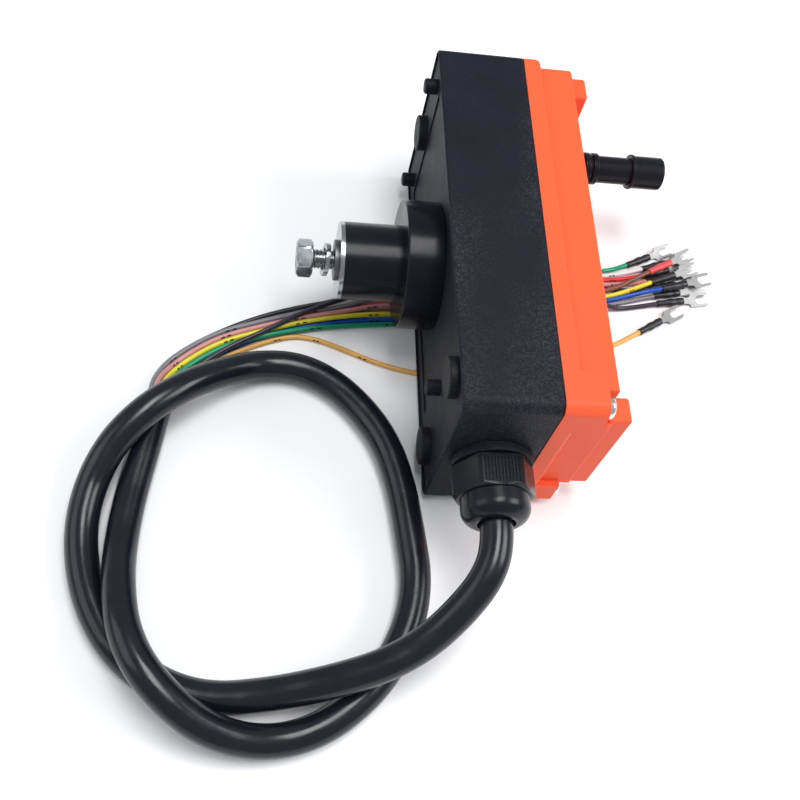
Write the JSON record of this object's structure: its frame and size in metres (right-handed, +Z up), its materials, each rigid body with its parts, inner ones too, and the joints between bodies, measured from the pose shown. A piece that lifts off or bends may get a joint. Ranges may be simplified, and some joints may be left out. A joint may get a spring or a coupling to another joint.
{
  "type": "crane remote control receiver",
  "caption": "Boxed radio receiver for a crane remote: two-part case on a rubber shock mount with bolt, stub antenna, cable gland and a multicore output cable ending in fork terminals.",
  "frame": {"origin": "centre of the outer face of the shock mount's free end plate, on the bolt's axis", "axes": "+X from the shock mount through the case to the antenna, +Y along the case from the cable gland to the far end, +Z up with the case lying on its long side"},
  "size_m": [0.2733, 0.2628, 0.0803],
  "materials": {
    "black_case": "fine-grained moulded plastic, satin",
    "orange_cover": "moulded plastic, satin orange",
    "black_rubber": "smooth moulded rubber",
    "gasket": "soft sealing cord",
    "zinc": "zinc plated steel",
    "dark_steel": "dark plated spring steel",
    "bright_screw": "nickel plated",
    "nylon": "black polyamide",
    "nylon_gloss": "polished black polyamide",
    "sheath": "soft black PVC, glossy",
    "tin": "tin plated copper",
    "sleeve_black": "soft PVC sleeve",
    "sleeve_red": "soft PVC sleeve",
    "board": "solder-masked board",
    "terminal_green": "terminal housing",
    "relay_case": "relay case",
    "laminated": "varnished laminations",
    "shield": "tinned screening can",
    "brass": "nickel-free brass",
    "fuse_glass": "clear tube",
    "can": "sleeved aluminium can",
    "led_lens": "tinted lens",
    "lead_wire": "insulated wire",
    "core_black": "PVC insulation",
    "core_green": "PVC insulation",
    "core_yellow": "PVC insulation",
    "core_brown": "PVC insulation",
    "core_white": "PVC insulation",
    "core_violet": "PVC insulation",
    "core_orange": "PVC insulation",
    "core_grey": "PVC insulation",
    "core_blue": "PVC insulation",
    "core_pink": "PVC insulation",
    "core_red": "PVC insulation"
  },
  "bodies": {
    "case": {"housing_shell": "black_case", "rear_pads": "black_rubber", "mount_collar": "black_rubber", "rubber_damper": "black_rubber", "damper_end_plate": "zinc", "damper_stud": "zinc", "damper_nut": "zinc", "flat_washer": "dark_steel", "gland_body": "nylon", "gland_oring": "gasket", "gland_locknut": "nylon", "gland_seal": "gasket", "cable_tail": "sheath", "main_board": "board", "board_screws": "zinc", "terminal_block": "terminal_green", "terminal_screws": "zinc", "relays": "relay_case", "power_transformer": "laminated", "radio_module": "shield", "fuse_clips": "brass", "fuses": "fuse_glass", "capacitors": "can", "controller_chip": "nylon", "signal_leds": "led_lens", "inner_leads": "lead_wire", "cable_sheath": "sheath", "black_sleeves": "sleeve_black", "red_sleeve": "sleeve_red", "fork_terminals": "tin", "core_violet": "core_violet", "core_grey": "core_grey", "core_black": "core_black", "core_pink": "core_pink", "core_red": "core_red", "core_white": "core_white", "core_green": "core_green", "core_blue": "core_blue", "core_yellow": "core_yellow", "core_brown": "core_brown", "core_orange": "core_orange"},
    "cover": {"front_cover": "orange_cover", "cover_gasket": "gasket", "cover_screws": "bright_screw", "antenna_socket": "brass", "antenna_nut": "brass", "antenna_lead": "lead_wire", "antenna_plug": "brass"},
    "antenna": {"antenna_boot": "black_rubber", "antenna_shaft": "black_rubber", "antenna_cap": "black_rubber", "antenna_mast": "zinc"},
    "gland_nut": {"gland_cap_nut": "nylon_gloss"},
    "bolt": {"mounting_bolt": "zinc"},
    "lock_washer": {"spring_washer": "zinc"}
  },
  "joints": [
    {"name": "cover_slide", "type": "slide", "parent": "case", "child": "cover", "axis": [1, 0, 0], "range_m": [0, 0.0045]},
    {"name": "antenna_turn", "type": "hinge", "parent": "cover", "child": "antenna", "pos_m": [0.1, 0.0578, 0], "axis": [1, 0, 0], "continuous": true},
    {"name": "gland_nut_turn", "type": "hinge", "parent": "case", "child": "gland_nut", "pos_m": [0.0555, -0.095, 0], "axis": [0, -1, 0], "continuous": true},
    {"name": "bolt_turn", "type": "hinge", "parent": "case", "child": "bolt", "pos_m": [0, 0, 0], "axis": [1, 0, 0], "continuous": true},
    {"name": "washer_slide", "type": "slide", "parent": "bolt", "child": "lock_washer", "axis": [1, 0, 0], "range_m": [-0.0029, 0.0011]}
  ]
}
